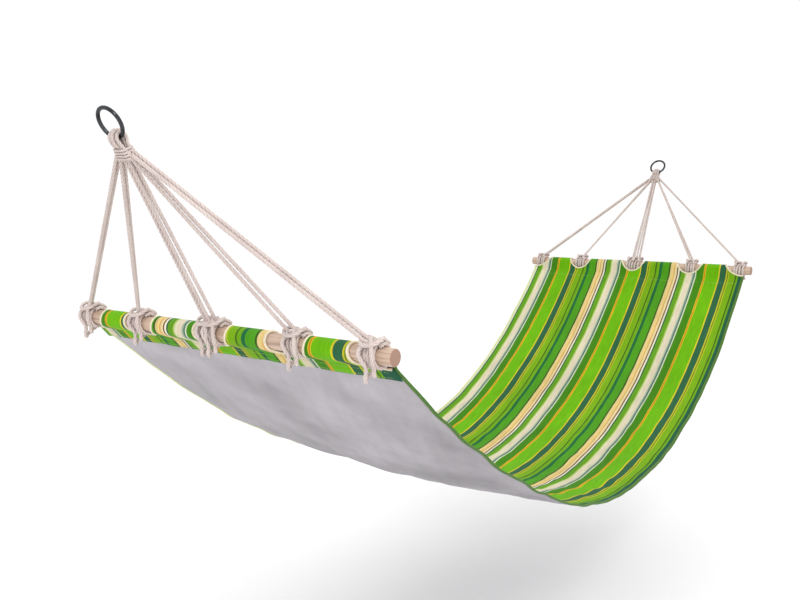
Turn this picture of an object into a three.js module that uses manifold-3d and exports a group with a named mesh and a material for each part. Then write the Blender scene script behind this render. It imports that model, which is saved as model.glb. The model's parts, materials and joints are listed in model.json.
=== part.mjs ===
// Spreader-bar hammock hung from two rings, in millimetres, +Z up.
// The origin is where the hook bears inside the top of the head ring. +X runs from the head end to the
// foot end, and the two ends mirror each other.
import * as THREE from "three";
import { mergeVertices } from "three/addons/utils/BufferGeometryUtils.js";
import Module from "manifold-3d";

const wasm = await Module();
wasm.setup();

// Hanging shape
const bedSpan = 2030; // level distance between the two bar axes
const bedSag = 500; // lowest edge of the bed below the bar axes
const bedLean = 0.1; // the deepest place lies a little towards the foot, as a share of the sag
const bedBelly = 34; // extra drop of the bed's middle line below its two edges
const fanLength = 448; // hook seat to bar axis, along the ropes
const fanAngle = THREE.MathUtils.degToRad(60.5); // ropes above the horizontal

// Bed cloth
const clothInset = 20; // bar's end to the cloth's edge
const clothThickness = 4;
const hemWidth = 12;
const hemThickness = 6;
const tongueLength = 50; // bar axis to the start of the bed
const bedLengthSteps = 44;
const bedWidthSteps = 10;

// Spreader bar and the sleeves that it runs through
const barLength = 840;
const barDiameter = 30;
const sleeveClearance = 1.2;
const sleeveWall = 2.6;
const notchWidth = 84; // cut-out in the cloth around each hitch

// Rope ties along the bar, from its middle outwards
const innerTieOffset = 212;
const outerTieInset = 44; // outer tie, in from the bar's end
const hitchWidth = 36;
const middleHitchWidth = 50; // this one ties four ropes
const hitchWall = 8.5;

// Ring, eye and whipping
const ringOuterDiameter = 60;
const ringWireDiameter = 7;
const eyeWidth = 26;
const eyeWall = 6;
const eyeClearance = 0.8;
const bundleWidth = 40; // the ropes are squeezed together inside the whipping
const bundleDepth = 15;
const neckStub = 3; // eye to the top of the whipping
const whippingLength = 14;
const whippingWall = 2.6;

// Rope
const ropeDiameter = 7.5;
const ropeGap = 0.4;
const ropeSides = 8;
const ropeSteps = 8;
const outerLegSpread = 1; // half the distance between a tie's two ropes, along the bar
const innerLegSpread = 4;
const centreTieSpread = 9; // half the distance between the middle tie's two pairs

const seatGap = 0.3; // between pieces that touch
const roundSides = 32;

const clothWidth = barLength - 2 * clothInset;
const ringBoreRadius = ringOuterDiameter / 2 - ringWireDiameter;
const ringWireCircle = (ringOuterDiameter - ringWireDiameter) / 2;
const ringFoot = -ringBoreRadius - ringWireCircle; // centre of the wire where the rope eye holds it
const barRadius = barDiameter / 2;
const barX = fanLength * Math.cos(fanAngle);
const barZ = -fanLength * Math.sin(fanAngle);
const footX = bedSpan + 2 * barX;
const headBedAngle = Math.atan(bedSlope(0));
const footBedAngle = Math.atan(-bedSlope(1));
const outerTieOffset = barLength / 2 - outerTieInset;
const ties = [
  { name: "left_outer", y: outerTieOffset, width: hitchWidth },
  { name: "left_inner", y: innerTieOffset, width: hitchWidth },
  { name: "middle", y: 0, width: middleHitchWidth },
  { name: "right_inner", y: -innerTieOffset, width: hitchWidth },
  { name: "right_outer", y: -outerTieOffset, width: hitchWidth },
];

const finishes = {
  steel: { color: 0xb9bcc0, roughness: 0.18, metalness: 1 },
  wood: { color: 0xcdb39c, roughness: 0.6, metalness: 0 },
  rope: { color: 0xd8ccc2, roughness: 0.9, metalness: 0 },
  cloth: { color: 0x7dbb2a, roughness: 0.85, metalness: 0 },
  hem: { color: 0x4c7a22, roughness: 0.85, metalness: 0 },
};

function mesh(name, geometry, finish) {
  const piece = new THREE.Mesh(geometry, new THREE.MeshStandardMaterial(finishes[finish]));
  piece.name = name;
  return piece;
}

function solidOf(geometry) {
  const bare = geometry.clone();
  bare.deleteAttribute("normal");
  bare.deleteAttribute("uv");
  const merged = mergeVertices(bare, 1e-4);
  const vertProperties = new Float32Array(merged.attributes.position.array);
  const triVerts = new Uint32Array(merged.index.array);
  return new wasm.Manifold(new wasm.Mesh({ numProp: 3, vertProperties, triVerts }));
}

function geometryOf(solid) {
  const { vertProperties, triVerts } = solid.getMesh();
  const geometry = new THREE.BufferGeometry();
  geometry.setAttribute("position", new THREE.BufferAttribute(vertProperties, 3));
  geometry.setIndex(new THREE.BufferAttribute(triVerts, 1));
  geometry.computeVertexNormals();
  return geometry;
}

function polygon(radius, sides) {
  const points = [];
  for (let side = 0; side < sides; side += 1) {
    const angle = (2 * Math.PI * side) / sides;
    points.push(new THREE.Vector2(radius * Math.cos(angle), radius * Math.sin(angle)));
  }
  return points;
}

// A plate of the given outline, drawn in X and Z, that runs along Y from low to high.
function plateAlongY(outline, low, high) {
  const geometry = new THREE.ExtrudeGeometry(outline, {
    depth: high - low,
    bevelEnabled: false,
    curveSegments: roundSides / 2,
  });
  geometry.rotateX(Math.PI / 2);
  geometry.translate(0, high, 0);
  return geometry;
}

// Height of the bed's middle surface. share runs from 0 at the head bar to 1 at the foot bar.
function bedHeight(share, y) {
  const across = 1 - ((2 * y) / clothWidth) ** 2;
  const lengthwise = 4 * share * (1 - share);
  const lean = 1 + bedLean * (2 * share - 1);
  return barZ - bedSag * lengthwise * lean - bedBelly * across * lengthwise;
}

// How steeply the bed goes down towards the foot.
function bedSlope(share) {
  const level = 1 - 2 * share;
  return ((4 * bedSag) / bedSpan) * (level - bedLean * (level * level - 2 * share * (1 - share)));
}

// A strip of the bed between two Y values, bent to the hanging shape.
function bedStrip(lowY, highY, thickness, widthSteps) {
  const firstShare = (tongueLength * Math.cos(headBedAngle)) / bedSpan;
  const lastShare = 1 - (tongueLength * Math.cos(footBedAngle)) / bedSpan;
  const strip = new THREE.BoxGeometry(1, highY - lowY, thickness, bedLengthSteps, widthSteps, 1);
  strip.translate(0.5, (highY + lowY) / 2, 0);
  const place = strip.attributes.position;
  for (let index = 0; index < place.count; index += 1) {
    const share = firstShare + (lastShare - firstShare) * place.getX(index);
    const slope = bedSlope(share);
    const stretch = Math.sqrt(1 + slope * slope);
    const offset = place.getZ(index);
    const y = place.getY(index);
    const x = barX + bedSpan * share + (offset * slope) / stretch;
    place.setXYZ(index, x, y, bedHeight(share, y) + offset / stretch);
  }
  strip.computeVertexNormals();
  return strip;
}

// The spaces between cut-outs, where the cloth's end is sewn round the bar.
function sleeveSpans() {
  const half = notchWidth / 2;
  const inner = [half, innerTieOffset - half];
  const outer = [innerTieOffset + half, outerTieOffset - half];
  return [
    { name: "left_outer", low: outer[0], high: outer[1] },
    { name: "left_inner", low: inner[0], high: inner[1] },
    { name: "right_inner", low: -inner[1], high: -inner[0] },
    { name: "right_outer", low: -outer[1], high: -outer[0] },
  ];
}

// Sleeve round the bar with a tongue that reaches the bed, pointing along +X.
function sleeveGeometry(low, high) {
  const inside = barRadius + sleeveClearance;
  const outside = inside + sleeveWall;
  const half = clothThickness / 2;
  const meet = Math.asin(half / outside);
  const tip = tongueLength - 2 * seatGap;
  const outline = new THREE.Shape();
  outline.moveTo(tip, half);
  outline.absarc(0, 0, outside, meet, 2 * Math.PI - meet, false);
  outline.lineTo(tip, -half);
  outline.closePath();
  const bore = new THREE.Path();
  bore.absarc(0, 0, inside, 0, 2 * Math.PI, true);
  outline.holes.push(bore);
  return plateAlongY(outline, low, high);
}

function hitchGeometry(y, width) {
  const outline = new THREE.Shape(polygon(barRadius + seatGap + hitchWall, roundSides));
  outline.holes.push(new THREE.Path(polygon(barRadius + seatGap, roundSides)));
  return plateAlongY(outline, y - width / 2, y + width / 2);
}

function barGeometry() {
  const edge = 2;
  const half = barLength / 2;
  const profile = [
    new THREE.Vector2(0, -half),
    new THREE.Vector2(barRadius - edge, -half),
    new THREE.Vector2(barRadius, -half + edge),
    new THREE.Vector2(barRadius, half - edge),
    new THREE.Vector2(barRadius - edge, half),
    new THREE.Vector2(0, half),
  ];
  return new THREE.LatheGeometry(profile, roundSides);
}

// The loop of rope that holds the ring, and the bundle below it.
function eyeGeometry() {
  const half = eyeWidth / 2;
  const wireRise = ringWireCircle - Math.sqrt(ringWireCircle ** 2 - half ** 2);
  const inside = ringWireDiameter / 2 + wireRise + eyeClearance;
  const outside = inside + eyeWall;
  const neckTop = -outside;
  const outline = new THREE.Shape();
  outline.moveTo(outside, 0);
  outline.absarc(0, 0, outside, 0, Math.PI, false);
  outline.lineTo(-bundleDepth / 2, neckTop - neckStub);
  outline.lineTo(bundleDepth / 2, neckTop - neckStub);
  outline.closePath();
  const bore = new THREE.Path();
  bore.absarc(0, 0, inside, 0, 2 * Math.PI, true);
  outline.holes.push(bore);
  const eye = solidOf(plateAlongY(outline, -half, half));
  const bundleLength = neckStub + whippingLength;
  const bundle = new THREE.BoxGeometry(bundleDepth, bundleWidth, bundleLength);
  bundle.translate(0, 0, neckTop - bundleLength / 2);
  return { geometry: geometryOf(eye.add(solidOf(bundle))), neckTop, bundleLength };
}

// Turns of cord bound round the bundle, as one flattened collar.
function whippingGeometry() {
  const inX = bundleDepth / 2 + seatGap;
  const inY = bundleWidth / 2 + seatGap;
  const outline = new THREE.Shape();
  const outX = inX + whippingWall;
  const outY = inY + whippingWall;
  const corner = outX * 0.6;
  outline.moveTo(outX, outY - corner);
  outline.quadraticCurveTo(outX, outY, outX - corner, outY);
  outline.lineTo(corner - outX, outY);
  outline.quadraticCurveTo(-outX, outY, -outX, outY - corner);
  outline.lineTo(-outX, corner - outY);
  outline.quadraticCurveTo(-outX, -outY, corner - outX, -outY);
  outline.lineTo(outX - corner, -outY);
  outline.quadraticCurveTo(outX, -outY, outX, corner - outY);
  outline.closePath();
  const bore = new THREE.Path();
  bore.moveTo(inX, inY);
  bore.lineTo(inX, -inY);
  bore.lineTo(-inX, -inY);
  bore.lineTo(-inX, inY);
  bore.closePath();
  outline.holes.push(bore);
  return new THREE.ExtrudeGeometry(outline, {
    depth: whippingLength,
    bevelEnabled: false,
    curveSegments: 4,
  });
}

function ropeGeometry(from, to) {
  const section = new THREE.Shape(polygon(ropeDiameter / 2, ropeSides));
  return new THREE.ExtrudeGeometry(section, {
    steps: ropeSteps,
    bevelEnabled: false,
    extrudePath: new THREE.LineCurve3(from, to),
  });
}

// Every rope leg of one harness: where it leaves the bundle and where it meets its hitch. A leg that
// slants more needs a wider slot, so that neighbours stay a rope's thickness apart.
function legRoutes(bundleFoot) {
  const pitch = ropeDiameter + ropeGap;
  const legEnd = -fanLength + barRadius + hitchWall + 2 * seatGap;
  const drop = bundleFoot - legEnd;
  const halfFan = [
    { y: 0, shift: centreTieSpread, spread: innerLegSpread },
    { y: innerTieOffset, shift: 0, spread: innerLegSpread },
    { y: outerTieOffset, shift: 0, spread: outerLegSpread },
  ];
  const routes = [];
  let slot = pitch / 2;
  for (const column of halfFan) {
    const slant = Math.atan(column.y / drop);
    if (column.y > 0) {
      slot += pitch / Math.cos(slant);
    }
    const cutRise = (ropeDiameter / 2) * Math.sin(slant);
    for (const hand of [1, -1]) {
      for (const face of [1, -1]) {
        const endY = column.y + column.shift + face * column.spread;
        routes.push({
          from: new THREE.Vector3((face * pitch) / 2, hand * slot, bundleFoot - cutRise),
          to: new THREE.Vector3((face * pitch) / 2, hand * endY, legEnd + cutRise),
        });
      }
    }
  }
  return routes;
}

// One harness hangs down local -Z from the hook seat at its own origin.
function harness(end) {
  const group = new THREE.Group();
  const ring = new THREE.TorusGeometry(ringWireCircle, ringWireDiameter / 2, 12, 40);
  ring.rotateY(Math.PI / 2);
  const ringMesh = mesh(`${end}_ring`, ring, "steel");
  ringMesh.position.z = -ringBoreRadius;
  group.add(ringMesh);

  const { geometry: eye, neckTop, bundleLength } = eyeGeometry();
  const eyeMesh = mesh(`${end}_rope_eye`, eye, "rope");
  eyeMesh.position.z = ringFoot;
  group.add(eyeMesh);

  const whippingMesh = mesh(`${end}_whipping`, whippingGeometry(), "rope");
  whippingMesh.position.z = ringFoot + neckTop - bundleLength;
  group.add(whippingMesh);

  const bundleFoot = ringFoot + neckTop - bundleLength - seatGap;
  legRoutes(bundleFoot).forEach((route, index) => {
    const number = String(index + 1).padStart(2, "0");
    group.add(mesh(`${end}_rope_${number}`, ropeGeometry(route.from, route.to), "rope"));
  });

  const barMesh = mesh(`${end}_bar`, barGeometry(), "wood");
  barMesh.position.z = -fanLength;
  group.add(barMesh);
  for (const tie of ties) {
    const hitchMesh = mesh(`${end}_hitch_${tie.name}`, hitchGeometry(tie.y, tie.width), "rope");
    hitchMesh.position.z = -fanLength;
    group.add(hitchMesh);
  }
  return group;
}

function sleeves(end) {
  const group = new THREE.Group();
  for (const span of sleeveSpans()) {
    group.add(mesh(`${end}_sleeve_${span.name}`, sleeveGeometry(span.low, span.high), "cloth"));
  }
  return group;
}

const hammock = new THREE.Group();
hammock.name = "hammock";

const headHarness = harness("head");
headHarness.rotation.y = fanAngle - Math.PI / 2;
const footHarness = harness("foot");
footHarness.position.x = footX;
footHarness.rotation.y = Math.PI / 2 - fanAngle;
hammock.add(headHarness, footHarness);

const headSleeves = sleeves("head");
headSleeves.position.set(barX, 0, barZ);
headSleeves.rotation.y = headBedAngle;
const footSleeves = sleeves("foot");
footSleeves.position.set(footX - barX, 0, barZ);
footSleeves.rotation.y = Math.PI - footBedAngle;
hammock.add(headSleeves, footSleeves);

const clothEdge = clothWidth / 2 - hemWidth - seatGap;
hammock.add(mesh("bed_cloth", bedStrip(-clothEdge, clothEdge, clothThickness, bedWidthSteps), "cloth"));
const hemInside = clothWidth / 2 - hemWidth;
hammock.add(mesh("left_side_hem", bedStrip(hemInside, clothWidth / 2, hemThickness, 1), "hem"));
hammock.add(mesh("right_side_hem", bedStrip(-clothWidth / 2, -hemInside, hemThickness, 1), "hem"));

export default hammock;
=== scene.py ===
import json
import math

import bpy
import numpy as np
from mathutils import Matrix, Vector, noise


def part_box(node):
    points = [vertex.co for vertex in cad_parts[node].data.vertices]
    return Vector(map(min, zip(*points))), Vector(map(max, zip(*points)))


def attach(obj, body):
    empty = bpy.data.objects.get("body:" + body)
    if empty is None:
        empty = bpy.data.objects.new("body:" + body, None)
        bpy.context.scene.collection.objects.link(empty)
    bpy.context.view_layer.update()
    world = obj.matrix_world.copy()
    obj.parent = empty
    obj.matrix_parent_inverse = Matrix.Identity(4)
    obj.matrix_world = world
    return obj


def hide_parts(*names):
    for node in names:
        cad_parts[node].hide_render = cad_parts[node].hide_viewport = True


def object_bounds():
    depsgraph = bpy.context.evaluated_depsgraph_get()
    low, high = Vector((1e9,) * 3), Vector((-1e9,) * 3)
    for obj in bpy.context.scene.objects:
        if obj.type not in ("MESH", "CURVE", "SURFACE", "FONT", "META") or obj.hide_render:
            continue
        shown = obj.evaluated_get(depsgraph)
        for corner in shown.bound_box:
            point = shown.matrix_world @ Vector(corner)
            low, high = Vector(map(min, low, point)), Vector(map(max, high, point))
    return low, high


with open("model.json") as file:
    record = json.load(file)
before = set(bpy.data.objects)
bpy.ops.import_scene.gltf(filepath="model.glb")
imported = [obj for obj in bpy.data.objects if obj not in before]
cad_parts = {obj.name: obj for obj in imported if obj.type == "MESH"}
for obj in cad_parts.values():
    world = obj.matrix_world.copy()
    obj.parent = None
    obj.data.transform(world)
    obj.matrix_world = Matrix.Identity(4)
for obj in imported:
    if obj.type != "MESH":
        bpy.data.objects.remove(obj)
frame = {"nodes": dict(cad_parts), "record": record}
cadLow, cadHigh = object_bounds()
print("frame loaded")

# places taken from the frame
mounts = {m["name"]: Vector(m["pos_m"]) for m in frame["record"]["mounts"]}
joints = {j["name"]: Vector(j["pos_m"]) for j in frame["record"]["behaviour"]["joints"] if "pos_m" in j}
ends = ("head", "foot")


def boxSize(node):
    low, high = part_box(node)
    return Vector(high) - Vector(low)


def fanMatrix(end):  # local -Z runs from the hook seat down to the bar, local Y along the bar
    seat = mounts[end + "_hook_seat"]
    down = joints[end + "_harness_fold"] - seat
    return Matrix.Translation(seat) @ Matrix.Rotation(math.atan2(-down.x, -down.z), 4, "Y")


barLength = boxSize("head_bar").y
barRadius = boxSize("head_bar").z / 2
fanLength = (joints["head_harness_fold"] - mounts["head_hook_seat"]).length
wireFoot = (joints["head_ring_swing"] - mounts["head_hook_seat"]).length  # seat to the wire in the eye
ringOuter = boxSize("head_ring").y
ringWire = (ringOuter - wireFoot) / 1.5
wireCircle = (ringOuter - ringWire) / 2
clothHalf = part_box("left_side_hem")[1][1]
barX = joints["head_harness_fold"].x
barZ = joints["head_harness_fold"].z
bedSpan = joints["foot_harness_fold"].x - barX

# the camera stands right of the head end, a little below the hooks
cameraSet = {"place": (-0.839, -1.221, -0.141), "heading": 36.82, "tilt": -6.75, "lens": 38.7}


def addCamera():
    data = bpy.data.cameras.new("camera")
    data.lens = cameraSet["lens"]
    data.clip_end = 200
    camera = bpy.data.objects.new("camera", data)
    camera.location = cameraSet["place"]
    camera.rotation_euler = (math.radians(90 + cameraSet["tilt"]), 0, math.radians(cameraSet["heading"] - 90))
    bpy.context.scene.collection.objects.link(camera)
    bpy.context.scene.camera = camera


addCamera()


def linear(red, green, blue):  # a screen colour of 0 to 255 as a linear one
    channels = []
    for channel in (red, green, blue):
        share = channel / 255
        channels.append(share / 12.92 if channel < 10 else ((share + 0.055) / 1.055) ** 2.4)
    return (*channels, 1)


def grey(level):
    return (level, level, level, 1)


class Shader:  # a short way to lay out a material's nodes
    def __init__(self, name, roughness, metallic=0, **sockets):
        self.material = bpy.data.materials.new(name)
        self.material.use_nodes = True
        self.tree = self.material.node_tree
        self.bsdf = self.tree.nodes["Principled BSDF"]
        self.bsdf.inputs["Roughness"].default_value = roughness
        self.bsdf.inputs["Metallic"].default_value = metallic
        for socket, value in sockets.items():
            self.bsdf.inputs[socket.replace("_", " ")].default_value = value

    def add(self, kind, values=None, links=None):
        node = self.tree.nodes.new("ShaderNode" + kind)
        for key, value in (values or {}).items():
            node.inputs[key].default_value = value
        for key, source in (links or {}).items():
            self.tree.links.new(source, node.inputs[key])
        return node

    def math(self, operation, first, second=None):
        node = self.tree.nodes.new("ShaderNodeMath")
        node.operation = operation
        for index, value in enumerate((first, second)):
            if isinstance(value, (int, float)):
                node.inputs[index].default_value = value
            elif value is not None:
                self.tree.links.new(value, node.inputs[index])
        return node.outputs[0]

    def mix(self, factor, first, second, blend="MIX"):
        node = self.tree.nodes.new("ShaderNodeMix")
        node.data_type = "RGBA"
        node.blend_type = blend
        for index, value in ((0, factor), (6, first), (7, second)):  # the node's colour sockets
            if isinstance(value, (int, float, tuple)):
                node.inputs[index].default_value = value
            else:
                self.tree.links.new(value, node.inputs[index])
        return node.outputs[2]

    def ramp(self, source, stops, interpolation="LINEAR"):
        node = self.tree.nodes.new("ShaderNodeValToRGB")
        node.color_ramp.interpolation = interpolation
        elements = node.color_ramp.elements
        while len(elements) > 1:
            elements.remove(elements[-1])
        elements[0].position = stops[0][0]
        elements[0].color = stops[0][1]
        for place, colour in stops[1:]:
            elements.new(place).color = colour
        self.tree.links.new(source, node.inputs[0])
        return node.outputs[0]

    def finish(self, colour, height=None, strength=0.3, depth=0.0005):
        self.tree.links.new(colour, self.bsdf.inputs["Base Color"])
        if height is not None:
            bump = self.add("Bump", {"Strength": strength, "Distance": depth}, {"Height": height})
            self.tree.links.new(bump.outputs[0], self.bsdf.inputs["Normal"])
        return self.material


# the stripes of one repeat, from the orange line on: share of the repeat and colour
stripeSet = {
    "repeat": 0.284,
    "firstLine": 0.097,  # left edge of the cloth to the first orange line
    "headSkew": 0.019,  # the cloth was sewn to the head bar a little off the square
    "edge": 0.017,
    "edgeColour": (34, 92, 66),
    "bands": [
        (0.006, (214, 196, 40)), (0.013, (206, 122, 22)), (0.008, (214, 196, 40)),
        (0.151, (108, 182, 0)), (0.015, (214, 200, 42)), (0.074, (44, 100, 66)),
        (0.018, (196, 190, 44)), (0.010, (96, 128, 20)), (0.012, (186, 192, 40)),
        (0.070, (120, 172, 14)), (0.017, (66, 104, 16)), (0.038, (108, 166, 16)),
        (0.036, (28, 104, 58)), (0.090, (76, 154, 24)), (0.018, (58, 92, 24)),
        (0.020, (224, 202, 140)), (0.026, (230, 202, 128)), (0.012, (214, 160, 84)),
        (0.030, (228, 212, 160)), (0.012, (128, 78, 44)), (0.020, (226, 226, 204)),
        (0.016, (46, 96, 64)), (0.054, (98, 158, 30)), (0.018, (176, 196, 96)),
        (0.022, (220, 220, 184)), (0.034, (226, 210, 184)), (0.022, (214, 212, 186)),
        (0.014, (150, 166, 142)), (0.016, (62, 110, 104)), (0.018, (206, 214, 180)),
        (0.066, (66, 134, 14)),
    ],
}


weaveSet = {"pitch": 0.0024, "depth": 0.0004}


def weaveHeight(shader, uv):  # plain weave: threads over and under in both directions
    across = shader.math("SINE", shader.math("MULTIPLY", uv.outputs[0], 2 * math.pi / weaveSet["pitch"]))
    along = shader.math("SINE", shader.math("MULTIPLY", uv.outputs[1], 2 * math.pi / weaveSet["pitch"]))
    return shader.math("MULTIPLY", across, along)


def clothNoise(shader, coordinates, stretch, scale, detail=3):
    mapped = shader.add("Mapping", {"Scale": stretch}, {"Vector": coordinates})
    texture = shader.add("TexNoise", {"Scale": scale, "Detail": detail}, {"Vector": mapped.outputs[0]})
    return texture.outputs[0]


def stripedCloth():
    shader = Shader("stripedCloth", 0.88, Specular_IOR_Level=0.15, Sheen_Weight=0.03, Sheen_Roughness=0.5)
    coordinates = shader.add("TexCoord")
    uv = shader.add("SeparateXYZ", links={"Vector": coordinates.outputs["UV"]})
    yarn = clothNoise(shader, coordinates.outputs["UV"], (1, 0.02, 1), 900, 2)
    wander = shader.math("MULTIPLY", shader.math("SUBTRACT", yarn, 0.5), 0.0012)
    place = shader.math("ADD", shader.math("SUBTRACT", uv.outputs[0], stripeSet["firstLine"]), wander)
    share = shader.math("FRACT", shader.math("DIVIDE", place, stripeSet["repeat"]))
    start = 0
    stops = []
    for width, colour in stripeSet["bands"]:
        stops.append((start, linear(*colour)))
        start += width
    stripes = shader.ramp(share, stops, "CONSTANT")
    threads = shader.ramp(yarn, [(0.3, grey(0.62)), (0.7, grey(1.14))])
    worn = clothNoise(shader, coordinates.outputs["Object"], (1, 1, 1), 6)
    fade = shader.ramp(worn, [(0.3, grey(0.86)), (0.7, grey(1.05))])
    rightEdge = shader.math("GREATER_THAN", uv.outputs[0], 2 * clothHalf - stripeSet["edge"])
    stripes = shader.mix(rightEdge, stripes, linear(*stripeSet["edgeColour"]))
    colour = shader.mix(0.75, stripes, threads, "MULTIPLY")
    colour = shader.mix(0.8, colour, fade, "MULTIPLY")
    return shader.finish(colour, weaveHeight(shader, uv), 0.35, weaveSet["depth"])


liningSet = {
    "length": 2.6,
    "slant": 0.35,  # how much the creases run aslant
    # painted shade along the bed: the underside is lighter near the bars and darker in the middle, shade that
    # the even floor bounce does not give
    "paintedShade": [(0.05, grey(1.04)), (0.40, grey(0.74)), (0.62, grey(0.74)), (0.95, grey(1))],
}


def greyLining():
    shader = Shader("greyLining", 0.92, Sheen_Weight=0.08, Sheen_Roughness=0.5)
    coordinates = shader.add("TexCoord")
    uv = shader.add("SeparateXYZ", links={"Vector": coordinates.outputs["UV"]})
    cloud = clothNoise(shader, coordinates.outputs["Object"], (1, 1, 1), 5, 5)
    thread = clothNoise(shader, coordinates.outputs["UV"], (1, 0.06, 1), 700, 2)
    base = shader.ramp(cloud, [(0.3, linear(154, 150, 155)), (0.7, linear(190, 185, 191))])
    # painted shade: the lining is darkened towards the middle of the bed
    lengthShare = shader.math("DIVIDE", uv.outputs[1], liningSet["length"])
    paintedShade = shader.ramp(lengthShare, liningSet["paintedShade"])
    base = shader.mix(0.8, base, paintedShade, "MULTIPLY")
    slant = shader.math("ADD", uv.outputs[0], shader.math("MULTIPLY", uv.outputs[1], liningSet["slant"]))
    streakPlace = shader.add("CombineXYZ", links={"X": slant, "Y": uv.outputs[1]})
    streak = clothNoise(shader, streakPlace.outputs[0], (1, 0.2, 1), 30, 5)
    shade = shader.ramp(streak, [(0.3, grey(0.88)), (0.7, grey(1.05))])
    base = shader.mix(0.8, base, shade, "MULTIPLY")
    grain = shader.ramp(thread, [(0.3, grey(0.86)), (0.7, grey(1.06))])
    colour = shader.mix(0.6, base, grain, "MULTIPLY")
    return shader.finish(colour, weaveHeight(shader, uv), 0.3, weaveSet["depth"])


def plainCloth(name, dark, light):
    shader = Shader(name, 0.9, Sheen_Weight=0.1, Sheen_Roughness=0.5)
    coordinates = shader.add("TexCoord")
    fine = clothNoise(shader, coordinates.outputs["Object"], (1, 1, 1), 420, 3)
    return shader.finish(shader.ramp(fine, [(0.3, linear(*dark)), (0.7, linear(*light))]), fine, 0.4, 0.0006)


def cottonRope():
    shader = Shader("cottonRope", 0.95, Sheen_Weight=0.15, Sheen_Roughness=0.4)
    coordinates = shader.add("TexCoord")
    fibre = clothNoise(shader, coordinates.outputs["Object"], (1, 1, 1), 1300, 4)
    soil = clothNoise(shader, coordinates.outputs["Object"], (1, 1, 1), 22, 3)
    base = shader.ramp(soil, [(0.3, linear(208, 192, 187)), (0.7, linear(222, 208, 202))])
    hair = shader.ramp(fibre, [(0.3, grey(0.80)), (0.65, grey(1.03))])
    return shader.finish(shader.mix(0.75, base, hair, "MULTIPLY"), fibre, 0.6, 0.0006)


def barWood():
    shader = Shader("barWood", 0.55, Coat_Weight=0.08, Coat_Roughness=0.4)
    coordinates = shader.add("TexCoord")
    grain = clothNoise(shader, coordinates.outputs["Object"], (1, 0.06, 1), 160, 6)
    pore = clothNoise(shader, coordinates.outputs["Object"], (1, 0.04, 1), 900, 2)
    tones = [(0.3, linear(168, 140, 122)), (0.5, linear(196, 170, 150)), (0.7, linear(208, 184, 164))]
    base = shader.ramp(grain, tones)
    pores = shader.ramp(pore, [(0.36, (0.72, 0.68, 0.64, 1)), (0.5, (1, 1, 1, 1))])
    place = shader.add("SeparateXYZ", links={"Vector": coordinates.outputs["Object"]})
    endGrain = shader.math("GREATER_THAN", shader.math("ABSOLUTE", place.outputs[1]), barLength / 2 - 0.0015)
    base = shader.mix(endGrain, base, linear(158, 124, 106))
    return shader.finish(shader.mix(0.5, base, pores, "MULTIPLY"), pore, 0.2, 0.0003)


def ringSteel():
    shader = Shader("ringSteel", 0.16, metallic=1)
    coordinates = shader.add("TexCoord")
    smear = clothNoise(shader, coordinates.outputs["Object"], (1, 1, 1), 60, 4)
    base = shader.ramp(smear, [(0.3, linear(52, 53, 56)), (0.7, linear(84, 86, 90))])
    rough = shader.ramp(smear, [(0.35, grey(0.16)), (0.7, grey(0.34))])
    shader.tree.links.new(rough, shader.bsdf.inputs["Roughness"])
    return shader.finish(base)


finishes = {
    "stripes": stripedCloth(),
    "lining": greyLining(),
    "hemGreen": plainCloth("hemGreen", (44, 80, 18), (84, 128, 34)),
    "hemPale": plainCloth("hemPale", (176, 188, 120), (226, 228, 184)),
    "binding": plainCloth("binding", (204, 190, 160), (236, 226, 200)),
    "thread": plainCloth("thread", (132, 160, 84), (176, 196, 120)),
    "rope": cottonRope(),
    "wood": barWood(),
    "steel": ringSteel(),
}
print("materials made")


def addPiece(name, points, faces, finish, body, smooth=True):
    data = bpy.data.meshes.new(name)
    data.from_pydata([tuple(p) for p in points], [], faces)
    data.validate()
    if smooth:
        data.shade_smooth()
    data.materials.append(finishes[finish])
    piece = bpy.data.objects.new(name, data)
    bpy.context.scene.collection.objects.link(piece)
    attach(piece, body)
    return piece


def evenPath(points, step):  # a smooth line through the points, cut into even steps
    given = [np.array(p, float) for p in points]
    last = len(given) - 1
    dense = []
    for index in range(last):
        a, b, c, d = (given[min(max(index + k, 0), last)] for k in (-1, 0, 1, 2))
        for t in np.linspace(0, 1, 16, endpoint=False):
            dense.append(0.5 * (2 * b + (c - a) * t + (2 * a - 5 * b + 4 * c - d) * t * t
                                + (3 * b - a - 3 * c + d) * t ** 3))
    dense.append(given[-1])
    dense = np.array(dense)
    lengths = np.concatenate([[0], np.cumsum(np.linalg.norm(np.diff(dense, axis=0), axis=1))])
    pieces = max(4, int(round(lengths[-1] / step)))
    wanted = np.linspace(0, lengths[-1], pieces + 1)
    return np.stack([np.interp(wanted, lengths, dense[:, axis]) for axis in range(3)], 1), lengths[-1]


def carriedFrames(path):  # directions across the path that don't spin along it
    tangents = np.gradient(path, axis=0)
    tangents /= np.linalg.norm(tangents, axis=1)[:, None]
    side = np.cross(tangents[0], (0.31, 0.42, 0.85))
    side /= np.linalg.norm(side)
    sides = []
    for tangent in tangents:
        side = side - tangent * side.dot(tangent)
        side /= np.linalg.norm(side)
        sides.append(side)
    sides = np.array(sides)
    return sides, np.cross(tangents, sides)


def sweep(path, across, up, section, points, faces, closed=False):
    # section is a list of (across, up) offsets, or a function of the step that gives one
    base = len(points)
    rings = len(path) - 1 if closed else len(path)
    for index in range(rings):
        shape = section(index) if callable(section) else section
        for a, u in shape:
            points.append(path[index] + across[index] * a + up[index] * u)
    sides = len(shape)
    for index in range(rings if closed else rings - 1):
        here, there = base + index * sides, base + ((index + 1) % rings) * sides
        for side in range(sides):
            nextSide = (side + 1) % sides
            faces.append((here + side, here + nextSide, there + nextSide, there + side))
    if not closed:
        faces.append(tuple(base + side for side in reversed(range(sides))))
        faces.append(tuple(base + (rings - 1) * sides + side for side in range(sides)))


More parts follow.
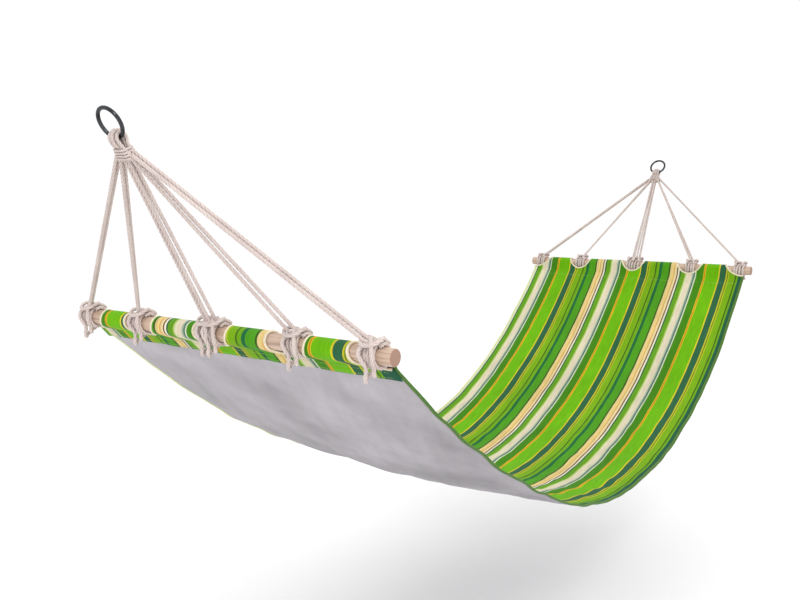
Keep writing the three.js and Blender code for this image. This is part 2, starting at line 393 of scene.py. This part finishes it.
ropeSet = {
    "diameter": 0.0075,
    "lay": 0.027,  # length of one full turn of the three strands
    "strandSides": 8,
    "stepsPerLay": 12,
    "strandOut": 0.235,  # a strand's place and half sizes, as shares of the diameter
    "strandWide": 0.30,
    "strandDeep": 0.25,
}


def addRope(points, faces, route, diameter=ropeSet["diameter"], start=0.0):
    # three strands laid round each other along the route
    path, length = evenPath(route, ropeSet["lay"] / ropeSet["stepsPerLay"] * diameter / ropeSet["diameter"])
    across, up = carriedFrames(path)
    lay = ropeSet["lay"] * diameter / ropeSet["diameter"]
    strandOut = diameter * ropeSet["strandOut"]
    strandWide = diameter * ropeSet["strandWide"]
    strandDeep = diameter * ropeSet["strandDeep"]
    travel = np.linspace(0, length, len(path))
    for strand in range(3):
        def section(index, strand=strand):
            turn = start + 2 * math.pi * (travel[index] / lay + strand / 3)
            outA, outU = math.cos(turn), math.sin(turn)
            shape = []
            for side in range(ropeSet["strandSides"]):
                angle = 2 * math.pi * side / ropeSet["strandSides"]
                out = strandOut + strandDeep * math.cos(angle)
                sideways = strandWide * math.sin(angle)
                shape.append((outA * out - outU * sideways, outU * out + outA * sideways))
            return shape
        sweep(path, across, up, section, points, faces)
    return path, length


# the legs of each harness are cords, straight and taut
tieSet = {"outerInset": 0.044, "innerOffset": 0.212, "middleSpread": 0.009}
legSet = {
    "gap": 0.0004,
    "outerSpread": 0.001,
    "innerSpread": 0.004,
    "hitchWall": 0.0085,
    "seat": 0.0003,
    "tuck": 0.005,  # how far each end runs on into the bundle and the knot
    "points": 15,
    "turnStep": 1.3,  # each leg's strands start turned by this much more
}
ties = {
    "left_outer": barLength / 2 - tieSet["outerInset"],
    "left_inner": tieSet["innerOffset"],
    "middle": 0,
    "right_inner": -tieSet["innerOffset"],
    "right_outer": tieSet["outerInset"] - barLength / 2,
}


def nodeHeights(end, node):  # lowest and highest local height of a CAD node of this end
    inverse = fanMatrix(end).inverted()
    shape = frame["nodes"][end + "_" + node]
    heights = [(inverse @ vertex.co).z for vertex in shape.data.vertices]
    return min(heights), max(heights)


def legRoutes(end):
    diameter = ropeSet["diameter"]
    pitch = diameter + legSet["gap"]
    top = nodeHeights(end, "rope_eye")[0] - legSet["seat"]
    foot = -fanLength + barRadius + legSet["hitchWall"] + 2 * legSet["seat"]
    routes = []
    slotPlace = pitch / 2
    halfFan = (
        (0, tieSet["middleSpread"], legSet["innerSpread"]),
        (ties["left_inner"], 0, legSet["innerSpread"]),
        (ties["left_outer"], 0, legSet["outerSpread"]),
    )
    for tieY, shift, spread in halfFan:
        slant = math.atan(tieY / (top - foot))
        if tieY > 0:
            slotPlace += pitch / math.cos(slant)
        rise = diameter / 2 * math.sin(slant)
        for hand in (1, -1):
            for face in (1, -1):
                endY = tieY + shift + face * spread
                routes.append((Vector((face * pitch / 2, hand * slotPlace, top - rise)),
                               Vector((face * pitch / 2, hand * endY, foot + rise))))
    return routes


def makeLegs(end):
    matrix = fanMatrix(end)
    for index, (top, foot) in enumerate(legRoutes(end)):
        along = (foot - top).normalized()
        start, stop = top - along * legSet["tuck"], foot + along * legSet["tuck"]
        route = [matrix @ start.lerp(stop, share) for share in np.linspace(0, 1, legSet["points"])]
        points, faces = [], []
        path, length = addRope(points, faces, route, start=index * legSet["turnStep"])
        piece = addPiece(f"{end}RopeLeg{index + 1:02d}", points, faces, "rope", end + "_harness")
        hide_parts(f"{end}_rope_{index + 1:02d}")


for end in ends:
    makeLegs(end)
print("rope legs laid")


ringSet = {"steps": 96, "sides": 20, "weldAt": 1.15, "weldLong": 0.05, "weldHigh": 0.00035}


def makeRing(end):
    matrix = fanMatrix(end)
    steps, sides = ringSet["steps"], ringSet["sides"]
    centre = Vector((0, 0, wireCircle - wireFoot))
    points, faces = [], []
    for step in range(steps):
        turn = 2 * math.pi * step / steps
        # a low bead where the wire is welded shut
        weld = math.exp(-((turn - ringSet["weldAt"]) / ringSet["weldLong"]) ** 2) * ringSet["weldHigh"]
        for side in range(sides):
            angle = 2 * math.pi * side / sides
            radius = ringWire / 2 + weld
            out = wireCircle + radius * math.cos(angle)
            local = centre + Vector((radius * math.sin(angle), out * math.cos(turn), out * math.sin(turn)))
            points.append(matrix @ local)
    for step in range(steps):
        here, there = step * sides, ((step + 1) % steps) * sides
        for side in range(sides):
            nextSide = (side + 1) % sides
            faces.append((here + side, here + nextSide, there + nextSide, there + side))
    ring = addPiece(end + "Ring", points, faces, "steel", end + "_ring")
    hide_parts(end + "_ring")


# six loops of rope hold the ring, four on the wire and two over them, and end as the twelve legs
eyeSet = {
    "loops": (  # place on the wire, layer and place in the bundle
        (-1.5, 0, -2), (-0.5, 0, -1), (0.5, 0, 1), (1.5, 0, 2), (-0.5, 1, -0.4), (0.5, 1, 0.4),
    ),
    "squeezed": 0.0066,
    "layer": 0.0052,
    "neckPitch": 0.0074,
    "clear": 0.0003,  # between the rope and the turning wire
}
whippingSet = {
    "turns": 4,
    "stepsPerTurn": 24,
    "pitch": 0.0052,
    "cord": 0.0050,
    "halfWidth": 0.0135,
    "widen": 0.0012,
    "halfDepth": 0.0100,
}


def makeEye(end):
    matrix = fanMatrix(end)
    thick = eyeSet["squeezed"]
    face = legSet["gap"] / 2 + ropeSet["diameter"] / 2
    top = nodeHeights(end, "whipping")[1]
    foot = nodeHeights(end, "rope_eye")[0]
    points, faces = [], []
    for place, layer, slot in eyeSet["loops"]:
        y = place * thick
        rise = wireCircle - math.sqrt(wireCircle ** 2 - y * y)
        reach = ringWire / 2 + rise + thick / 2 + eyeSet["clear"] + layer * eyeSet["layer"]
        low = eyeSet["neckPitch"] * (slot * 0.95 + math.copysign(0.3, slot))
        side = [Vector((face * 1.05, low * 1.12, foot - 0.010)), Vector((face * 1.05, low, foot + 0.004)),
                Vector((face * 1.15, (low + y) / 2, (top + foot) / 2)),
                Vector((face * 1.5, y, top + 0.002)), Vector((reach * 0.93, y, -wireFoot - reach * 0.7))]
        over = [Vector((reach * math.cos(math.radians(a)), y, -wireFoot + reach * math.sin(math.radians(a))))
                for a in range(0, 181, 30)]
        back = [Vector((-p.x, p.y, p.z)) for p in reversed(side)]
        addRope(points, faces, [matrix @ p for p in side + over + back], thick, start=place)
    piece = addPiece(end + "RopeEye", points, faces, "rope", end + "_harness")
    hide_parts(end + "_rope_eye")


def makeWhipping(end):
    matrix = fanMatrix(end)
    top = nodeHeights(end, "whipping")[1] + 0.001
    steps = whippingSet["stepsPerTurn"]
    route = []
    for step in range(whippingSet["turns"] * steps + 1):
        turn = 2 * math.pi * step / steps
        # a circle with squared shoulders
        square = (abs(math.cos(turn)) ** 5 + abs(math.sin(turn)) ** 5) ** -0.2
        deep = whippingSet["halfDepth"]
        wide = whippingSet["halfWidth"] + whippingSet["widen"] * step / steps
        height = top - whippingSet["pitch"] * step / steps
        route.append(Vector((deep * square * math.cos(turn), wide * square * math.sin(turn), height)))
    tail = route[-1]
    route += [tail + Vector((-0.002, 0.003, -0.004)), tail + Vector((-0.005, 0.004, -0.010))]
    points, faces = [], []
    addRope(points, faces, [matrix @ p for p in route], whippingSet["cord"])
    piece = addPiece(end + "Whipping", points, faces, "rope", end + "_harness")
    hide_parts(end + "_whipping")


barSet = {
    "sides": 40,
    "edge": 0.003,  # radius of the rounded ends
    "rings": 40,
    "plain": 0.02,  # the even rings stop this far from each end
}


def barMatrix(end):  # as the fan's, with its middle on the bar's axis
    return fanMatrix(end) @ Matrix.Translation((0, 0, -fanLength))


def makeBar(end):
    matrix = barMatrix(end)
    sides, edge, half = barSet["sides"], barSet["edge"], barLength / 2
    rounded = []
    for angle in (0, 22, 45, 68, 90):
        turn = math.radians(angle)
        rounded.append((half - edge + edge * math.sin(turn), barRadius - edge + edge * math.cos(turn)))
    rounded.append((half, barRadius * 0.5))
    plain = half - barSet["plain"]
    middle = [(y, barRadius) for y in np.linspace(plain, -plain, barSet["rings"])]
    rings = list(reversed(rounded)) + middle + [(-y, r) for y, r in rounded]
    points, faces = [matrix @ Vector((0, half, 0))], []
    for y, radius in rings:
        for side in range(sides):
            angle = 2 * math.pi * side / sides
            points.append(matrix @ Vector((radius * math.cos(angle), y, radius * math.sin(angle))))
    points.append(matrix @ Vector((0, -half, 0)))
    last = 1 + (len(rings) - 1) * sides
    for side in range(sides):
        nextSide = (side + 1) % sides
        faces.append((0, 1 + side, 1 + nextSide))
        faces.append((len(points) - 1, last + nextSide, last + side))
        for row in range(len(rings) - 1):
            here, there = 1 + row * sides, 1 + (row + 1) * sides
            faces.append((here + side, there + side, there + nextSide, here + nextSide))
    bar = addPiece(end + "Bar", points, faces, "wood", end + "_harness")
    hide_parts(end + "_bar")


hitchSet = {
    "turns": 4,
    "middleTurns": 5,
    "halfSpan": 0.0175,
    "middleHalfSpan": 0.0240,
    "lift": 0.0003,
    "rope": 0.0080,  # the knots swell a little over the legs
    "knotWide": 1.35,
    "knotBump": 0.0046,
    "outerShift": 0.004,
    "drop": 0.022,
    "tail": 0.014,
    "stepsPerTurn": 16,
    "crowd": 1.15,  # the turns lie closer together at the start
    "turnSlack": 0.0026,  # how unevenly the turns lie, along the bar and off it
    "turnLift": 0.0008,
    "knotSlack": 0.0016,  # and the knot's ropes
    "knotLift": 0.0006,
    "press": 0.86,  # how far the knot's ropes stand over the turns, as a share of their thickness
}
# the ropes of a knot on top of the turns: angle round the bar, place along it, and lift
knotSet = {
    "first": [(-75, 0.006, 0), (-50, 0.008, 0), (-25, 0.005, 0.3), (0, -0.002, 1),
              (25, -0.007, 0.5), (50, -0.009, 0), (80, -0.009, 0), (105, -0.008, 0)],
    "second": [(-75, -0.009, 0), (-50, -0.009, 0), (-25, -0.006, 0), (0, 0.002, 0),
               (25, 0.008, 0.3), (50, 0.010, 0.4), (75, 0.006, 0.3), (95, 0.003, 0.2)],
    "collar": [(-28, -0.012, 0.7), (-8, -0.014, 0.9), (14, -0.011, 1.1), (24, -0.002, 1.3),
               (22, 0.007, 1.2), (6, 0.013, 0.9), (-14, 0.013, 0.8), (-30, 0.008, 0.6)],
}


def barRing(matrix, radius, angle, y):  # angle 0 points up the ropes
    turn = math.radians(angle)
    return matrix @ Vector((radius * math.sin(turn), y, radius * math.cos(turn)))


def makeHitch(end, tie):
    matrix = barMatrix(end)
    out = -1 if end == "head" else 1  # the side of the bar that faces away from the bed
    y = ties[tie]
    if "outer" in tie:
        y += math.copysign(hitchSet["outerShift"], y)
    thick = hitchSet["rope"]
    middle = tie == "middle"
    turns = hitchSet["middleTurns"] if middle else hitchSet["turns"]
    halfSpan = hitchSet["middleHalfSpan"] if middle else hitchSet["halfSpan"]
    snug = barRadius + thick / 2 + hitchSet["lift"]
    over = snug + thick * hitchSet["press"]
    seed = sum(ord(letter) for letter in end + tie)

    def loose(step):
        return noise.noise(Vector((step * 0.21, seed, 0.5)))

    points, faces = [], []
    coil = []
    steps = turns * hitchSet["stepsPerTurn"]
    for step in range(steps + 1):
        travel = (step / steps) ** hitchSet["crowd"]
        sideways = halfSpan * (1 - 2 * travel) + hitchSet["turnSlack"] * loose(step)
        radius = snug + hitchSet["turnLift"] * abs(loose(step + 40))
        angle = out * step * 360 / hitchSet["stepsPerTurn"]
        coil.append(barRing(matrix, radius, angle, y + sideways))
    addRope(points, faces, coil, thick)
    for knotY in ((-tieSet["middleSpread"], tieSet["middleSpread"]) if middle else (0,)):
        centre = y + knotY
        # two ends cross, one passes under the other, and a collar goes round them
        laid = []
        for strand in (knotSet["first"], knotSet["second"], knotSet["collar"]):
            route = []
            for angle, sideways, lift in strand:
                radius = over + hitchSet["knotBump"] * lift + hitchSet["knotLift"] * loose(angle)
                slack = hitchSet["knotSlack"] * loose(angle + 9 + knotY * 900)
                along = centre + hitchSet["knotWide"] * sideways + slack
                route.append(barRing(matrix, radius, out * angle, along))
            laid.append(route)
        # the first end stops in a short tail and the second hangs in a long bight under the bar
        last = laid[0][-1]
        sway = Vector((-0.0010 * out, -0.004, -1)).normalized()
        laid[0] += [last + sway * hitchSet["tail"] * 0.5,
                    last + sway * hitchSet["tail"] + Vector((0, -0.003, 0))]
        drop = laid[1][-1]
        below = barRing(matrix, snug, out * 150, centre).z - hitchSet["drop"]
        turnBack = Vector((-out * 0.0085, 0.004, 0))
        laid[1] += [Vector((drop.x - out * 0.001, drop.y - 0.001, below + 0.018)),
                    Vector((drop.x, drop.y, below + 0.006)),
                    Vector((drop.x, drop.y, below)) + turnBack * 0.5,
                    Vector((drop.x, drop.y, below + 0.005)) + turnBack,
                    barRing(matrix, snug + 0.004, out * 168, centre + 0.007),
                    barRing(matrix, snug, out * 200, centre + 0.008)]
        for index, strand in enumerate(laid):
            addRope(points, faces, strand, thick, start=index * 2.0)
    piece = addPiece(f"{end}Hitch_{tie}", points, faces, "rope", end + "_harness")
    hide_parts(f"{end}_hitch_{tie}")


for end in ends:
    makeRing(end)
    makeEye(end)
    makeWhipping(end)
    makeBar(end)
    for tie in ties:
        makeHitch(end, tie)
print("harness hardware made")


# the cloth is one sheet, sewn round both bars
clothSet = {
    "thickness": 0.0018,
    "wrapRadius": barRadius + 0.0022,
    "meet": 0.038,  # from the bar's axis to where the two plies meet
    "flapEnd": 0.066,  # and to the lower edge of the hem flap under the bed
    "flapDrop": 0.0032,
    "notches": {"left_inner": 0.044, "middle": 0.045, "right_inner": 0.047},  # half widths
    "notchShift": {"head": 0.020, "foot": 0.002},  # the right inner cut-out is a little off its knot
    "notchReach": 0.058,  # half of the cut-out's length, measured round the bar
    "outerNotch": 0.066,
    "edgeInset": 0.001,
    "spanColumns": 18,
    "bedRows": 190,
    "flapWave": 0.0022,
    "looseEdge": 0.14 * clothHalf,  # the width along each side that flutters
}
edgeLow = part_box("left_side_hem")[0][2]
bedLean = 0.1  # the deepest place lies a little towards the foot
bedSag = barZ - edgeLow - 0.003
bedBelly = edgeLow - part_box("bed_cloth")[0][2] - 0.001


def bedPoint(share, y):
    across = 1 - (y / clothHalf) ** 2
    lengthwise = 4 * share * (1 - share)
    drop = bedSag * lengthwise * (1 + bedLean * (2 * share - 1)) + bedBelly * across * lengthwise
    return Vector((barX + bedSpan * share, y, barZ - drop))


def bedSlope(share):
    level = 1 - 2 * share
    return 4 * bedSag / bedSpan * (level - bedLean * (level ** 2 - 2 * share * (1 - share)))


def bedUp(share):  # the way out of the cloth's upper face
    return Vector((bedSlope(share), 0, 1)).normalized()


bedAngle = {"head": math.atan(bedSlope(0)), "foot": math.atan(-bedSlope(1))}


def shareAt(end, reach):  # how far along the bed a line this far from the bar's axis lies
    share = reach * math.cos(bedAngle[end]) / bedSpan
    return share if end == "head" else 1 - share


# each wave of the cloth: pitch along, slant, pitch across, seed and height
rippleSet = {
    "broad": (5.5, 0, 4.2, 3.1, 0.010),
    "lengthFolds": (3.2, 0, 16, 7.7, 0.0045),
    "slanted": (26, 9, 7, 1.9, 0.0042),
    "crease": (17, -6, 8, 4.4, 0.0050),
    "fine": (44, 16, 19, 6.1, 0.0018),
    "pucker": (8, 0, 46, 5.3, 0.0034),
    "rightFlutter": (34, 0, 1, 9.4, 0.0050),
    "leftFlutter": (34, 0, 1, 9.4, 0.0020),
}


def wave(name, share, y):
    along, slant, across, seed, height = rippleSet[name]
    return noise.noise(Vector((share * along + y * slant, y * across, seed))) * height


def ripple(share, y):  # how far the cloth stands off its smooth shape
    nearest = min(share, 1 - share)
    middle = math.sin(math.pi * share)
    wide = (wave("broad", share, y) + wave("lengthFolds", share, y) + wave("slanted", share, y)) * middle
    crease = abs(wave("crease", share, y)) * middle
    fine = wave("fine", share, y) * min(1, middle * 3)
    pucker = wave("pucker", share, y) * math.exp(-nearest / 0.035) * min(1, nearest / 0.012)
    edge = max(0, 1 - (clothHalf - abs(y)) / clothSet["looseEdge"])
    flutter = wave("rightFlutter" if y < 0 else "leftFlutter", share, y) * edge * min(1, middle * 4)
    return wide - crease + fine + pucker + flutter


wrapTouch = math.acos(clothSet["wrapRadius"] / clothSet["meet"])
wrapArc = (math.pi - wrapTouch) * clothSet["wrapRadius"]
wrapStraight = math.sqrt(clothSet["meet"] ** 2 - clothSet["wrapRadius"] ** 2)
wrapEnd = wrapArc + wrapStraight


def wrapSpot(place):  # a point this far round the bar, and the way out there, as into the bed and up from it
    radius, meet = clothSet["wrapRadius"], clothSet["meet"]
    side = 1 if place >= 0 else -1
    size = min(abs(place), wrapEnd)
    angle = math.pi - min(size, wrapArc) / radius
    into, upward = radius * math.cos(angle), radius * math.sin(angle)
    share = max(0, (size - wrapArc) / wrapStraight)
    if share > 0:
        into += (meet - radius * math.cos(wrapTouch)) * share
        upward = radius * math.sin(wrapTouch) * (1 - share)
    drop = 0 if side > 0 else -clothSet["flapDrop"] * share
    return into, side * upward + drop, math.cos(angle), side * math.sin(angle)


def wrapProfile():  # points from the bed's upper ply round the bar to the flap's edge, with their distances
    places = [wrapEnd]
    for angle in np.linspace(90, -90, 41):
        places.append(clothSet["notchReach"] * math.sin(math.radians(angle)))
    places.append(-wrapEnd)
    profile = [(*wrapSpot(place)[:2], place) for place in places]
    flapStep = (clothSet["flapEnd"] - clothSet["meet"]) / 5
    for step in range(1, 6):
        along = flapStep * step
        profile.append((clothSet["meet"] + along, -clothSet["flapDrop"], -wrapEnd - along))
    return profile


def barFrame(end):  # the directions into the bed and up from it, at the bar
    ahead = 1 if end == "head" else -1
    into = Vector((ahead * math.cos(bedAngle[end]), 0, -math.sin(bedAngle[end])))
    upward = Vector((ahead * math.sin(bedAngle[end]), 0, math.cos(bedAngle[end])))
    return joints[end + "_harness_fold"], into, upward


def wrapPoint(end, e, n, y):
    origin, into, upward = barFrame(end)
    return origin + into * e + upward * n + Vector((0, y, 0))


def flapWave(e, y):  # the flap's free edge lifts and waves a little
    free = (e - clothSet["meet"]) / (clothSet["flapEnd"] - clothSet["meet"])
    return -clothSet["flapWave"] * free * (1 + noise.noise(Vector((y * 26, 2.2, e))))


def notchCut(place, half):  # half width of a cut-out at this distance round the bar
    share = abs(place) / clothSet["notchReach"]
    return half * math.sqrt(1 - share ** 2) if share < 1 else 0.0


def notchShift(end, tie):
    return clothSet["notchShift"][end] if tie == "right_inner" else 0.0


def columnPlaces(end, place):  # the four spans between the cut-outs, at this distance round the bar
    outer = notchCut(place, clothSet["outerNotch"])
    edges = [clothHalf - clothSet["edgeInset"] - outer]
    for tie, half in clothSet["notches"].items():
        inner = notchCut(place, half)
        centre = ties[tie] + notchShift(end, tie)
        edges += [centre + inner, centre - inner]
    edges.append(clothSet["edgeInset"] - clothHalf + outer)
    columns = []
    count = clothSet["spanColumns"]
    for high, low in zip(edges[::2], edges[1::2]):
        columns.append([high + (low - high) * k / count for k in range(count + 1)])
    return columns


def makeCloth():
    profile = wrapProfile()
    rows = []  # each row: the end or the bed, its place there, and the distance round the bar
    for e, n, place in reversed(profile):
        rows.append(("head", e, n, place))
    first, last = (shareAt(end, clothSet["meet"]) for end in ends)
    for share in np.linspace(first, last, clothSet["bedRows"] + 1)[1:-1]:
        rows.append(("bed", share, 0, 1.0))
    for e, n, place in profile:
        rows.append(("foot", e, n, place))
    points, uvs, ids = [], [], {}
    travel = 0
    previous = None
    grid = []
    for kind, a, b, place in rows:
        middle = bedPoint(a, 0) if kind == "bed" else wrapPoint(kind, a, b, 0)
        if previous is not None:
            travel += (middle - previous).length
        previous = middle
        row = []
        nearEnd = "head" if len(grid) * 2 < len(rows) else "foot"
        for ys in columnPlaces(nearEnd, place):
            spanRow = []
            for y in ys:
                if kind == "bed":
                    point = bedPoint(a, y) + bedUp(a) * ripple(a, y)
                else:
                    point = wrapPoint(kind, a, b, y)
                    if place < 0 and a > clothSet["meet"]:
                        point += barFrame(kind)[2] * flapWave(a, y)
                key = (len(grid), round(y, 6))
                if key not in ids:
                    ids[key] = len(points)
                    points.append(point)
                    uvs.append((clothHalf - y, travel))
                spanRow.append(ids[key])
            row.append(spanRow)
        grid.append(row)
    faces = []
    for here, there in zip(grid, grid[1:]):
        for spanHere, spanThere in zip(here, there):
            for k in range(clothSet["spanColumns"]):
                corner = (spanHere[k], spanHere[k + 1], spanThere[k + 1], spanThere[k])
                faces.append(tuple(dict.fromkeys(corner)))
    cloth = addPiece("stripedBed", points, [f for f in faces if len(f) > 2], "stripes", "bed")
    cloth.data.materials.append(finishes["lining"])
    layer = cloth.data.uv_layers.new(name="clothPlace")
    for loop in cloth.data.loops:
        across, along = uvs[loop.vertex_index]
        layer.data[loop.index].uv = (across + stripeSet["headSkew"] * (1 - along / travel) ** 3, along)
    thick = cloth.modifiers.new("thickness", "SOLIDIFY")
    thick.thickness = clothSet["thickness"]
    thick.offset = 0
    thick.material_offset = 1
    nodes = ["bed_cloth"]
    for end in ends:
        nodes += [f"{end}_sleeve_{tie}" for tie in ties if tie != "middle"]
    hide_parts(*nodes)
    return cloth, travel


cloth, clothLength = makeCloth()
print("cloth made, flat length", round(clothLength, 3))


hemSet = {
    "wide": 0.0096,
    "thick": 0.0050,
    "rows": 260,
    "inset": 0.0028,
    "start": 0.028,  # distance from the bar's axis to the hem's end
    "slope": 0.40,  # how it rises from the bed to the sleeve
}
bindingSet = {"wide": 0.0062, "thick": 0.0026}
stitchSet = {
    "length": 0.0038,
    "gap": 0.0026,
    "radius": 0.00045,
    "inset": 0.010,
    "spare": 0.002,
    "lines": (("top", 0.060), ("flap", 0.060), ("flap", 0.045)),  # ply, and distance from the bar's axis
}


def ovalSection(wide, thick, sides=10):
    return [(wide / 2 * math.cos(2 * math.pi * k / sides), thick / 2 * math.sin(2 * math.pi * k / sides))
            for k in range(sides)]


def fixedFrames(path, upward):  # across lies in the cloth and up stands out of it
    tangents = np.gradient(path, axis=0)
    tangents /= np.linalg.norm(tangents, axis=1)[:, None]
    across = np.cross(tangents, upward)
    across /= np.linalg.norm(across, axis=1)[:, None]
    return across, np.cross(across, tangents)


def makeSideHem(side):
    hand = 1 if side == "left" else -1
    y = hand * (clothHalf - hemSet["inset"])
    strips = {}
    for end in ends:  # the short lengths that close onto the sleeves
        strips[end] = []
        for e in np.linspace(hemSet["start"], clothSet["meet"], 4, endpoint=False):
            lift = (clothSet["meet"] - e) * hemSet["slope"]
            strips[end].append((wrapPoint(end, e, lift, y), barFrame(end)[2]))
    bed = []
    first, last = (shareAt(end, clothSet["meet"]) for end in ends)
    for share in np.linspace(first, last, hemSet["rows"]):
        bed.append((bedPoint(share, y) + bedUp(share) * ripple(share, hand * clothHalf), bedUp(share)))
    line = strips["head"] + bed + strips["foot"][::-1]
    path, upward = [place for place, up in line], [up for place, up in line]
    path = np.array(path)
    across, up = fixedFrames(path, np.array(upward))
    points, faces = [], []
    sweep(path, across, up, ovalSection(hemSet["wide"], hemSet["thick"]), points, faces)
    hem = addPiece(side + "SideHem", points, faces, "hemPale" if side == "left" else "hemGreen", "bed")
    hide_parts(side + "_side_hem")
    return hem


def wrapAt(end, place, y):  # the sleeve's surface at this distance round the bar, and the way out of it
    e, n, outE, outN = wrapSpot(place)
    origin, into, upward = barFrame(end)
    return wrapPoint(end, e, n, y), into * outE + upward * outN


def makeBinding(end, tie):
    y = ties[tie]
    outer = "outer" in tie
    reach = clothSet["notchReach"]
    path, upward = [], []
    if outer:
        hand = 1 if y > 0 else -1
        angles = np.linspace(-90, 90, 61)
        centre, half = hand * (clothHalf - clothSet["edgeInset"]), -hand * clothSet["outerNotch"]
    else:
        angles = np.linspace(0, 360, 121)
        centre, half = y + notchShift(end, tie), clothSet["notches"][tie]
    for angle in angles:
        turn = math.radians(angle)
        place, outward = wrapAt(end, reach * math.sin(turn), centre + half * math.cos(turn))
        path.append(place)
        upward.append(outward)
    path = np.array(path)
    across, up = fixedFrames(path, np.array(upward))
    points, faces = [], []
    section = ovalSection(bindingSet["wide"], bindingSet["thick"] + clothSet["thickness"])
    sweep(path, across, up, section, points, faces, closed=not outer)
    addPiece(f"{end}Binding_{tie}", points, faces, "binding", "bed")


def makeStitches(end):  # one seam through both plies, seen on the top and on the flap
    points, faces = [], []
    section = ovalSection(2 * stitchSet["radius"], 2 * stitchSet["radius"], 5)
    step = stitchSet["length"] + stitchSet["gap"]
    count = int(2 * (clothHalf - stitchSet["inset"] - stitchSet["spare"]) / step)
    lift = clothSet["thickness"] / 2
    for line, e in stitchSet["lines"]:
        for index in range(count):
            y = clothHalf - stitchSet["inset"] - index * step
            stitch = []
            for place in (y, y - stitchSet["length"]):
                if line == "top":
                    share = shareAt(end, e)
                    stitch.append(bedPoint(share, place) + bedUp(share) * (ripple(share, place) + lift))
                else:
                    stitch.append(wrapPoint(end, e, -clothSet["flapDrop"] + flapWave(e, place) - lift, place))
            path = np.array([stitch[0], (stitch[0] + stitch[1]) / 2, stitch[1]], float)
            across, up = fixedFrames(path, np.array([barFrame(end)[2]] * 3))
            sweep(path, across, up, section, points, faces)
    addPiece(end + "Stitches", points, faces, "thread", "bed", smooth=False)


sideHems = [makeSideHem("left"), makeSideHem("right")]
for end in ends:
    for tie in ties:
        makeBinding(end, tie)
    makeStitches(end)
print("trim made")


studioSet = {
    "aim": (1.2, 0, -0.5),
    "floorDepth": 0.35,
    "floorSize": 60,
    "world": 1.05,
    "lamps": {  # place, size, power
        "key": ((-0.9, -2.6, 2.6), 1.6, 42),
        "fill": ((3.6, 2.4, 2.6), 2.0, 24),
        "sparkle": ((-2.2, -1.6, 0.9), 0.35, 14),
    },
}


def addStudio():
    floorHeight = cadLow.z - studioSet["floorDepth"]
    floorPlace = (studioSet["aim"][0], 0, floorHeight)
    bpy.ops.mesh.primitive_plane_add(size=studioSet["floorSize"], location=floorPlace)
    floor = bpy.context.object
    floor.name = "floor"
    shader = Shader("paleFloor", 0.9)
    coordinates = shader.add("TexCoord")
    cloud = clothNoise(shader, coordinates.outputs["Object"], (1, 1, 1), 0.4, 2)
    pale = shader.ramp(cloud, [(0, grey(0.95)), (1, grey(0.98))])
    floor.data.materials.append(shader.finish(pale))
    world = bpy.data.worlds.new("studio")
    world.use_nodes = True
    world.node_tree.nodes["Background"].inputs[0].default_value = (1, 1, 1, 1)
    world.node_tree.nodes["Background"].inputs[1].default_value = studioSet["world"]
    bpy.context.scene.world = world
    bpy.context.scene.view_settings.view_transform = "Standard"
    for name, (place, size, power) in studioSet["lamps"].items():
        light = bpy.data.lights.new(name, "AREA")
        light.size = size
        light.energy = power
        lamp = bpy.data.objects.new(name, light)
        lamp.location = place
        aim = Vector(studioSet["aim"]) - Vector(place)
        lamp.rotation_euler = aim.to_track_quat("-Z", "Y").to_euler()
        bpy.context.scene.collection.objects.link(lamp)


addStudio()
print("studio made")
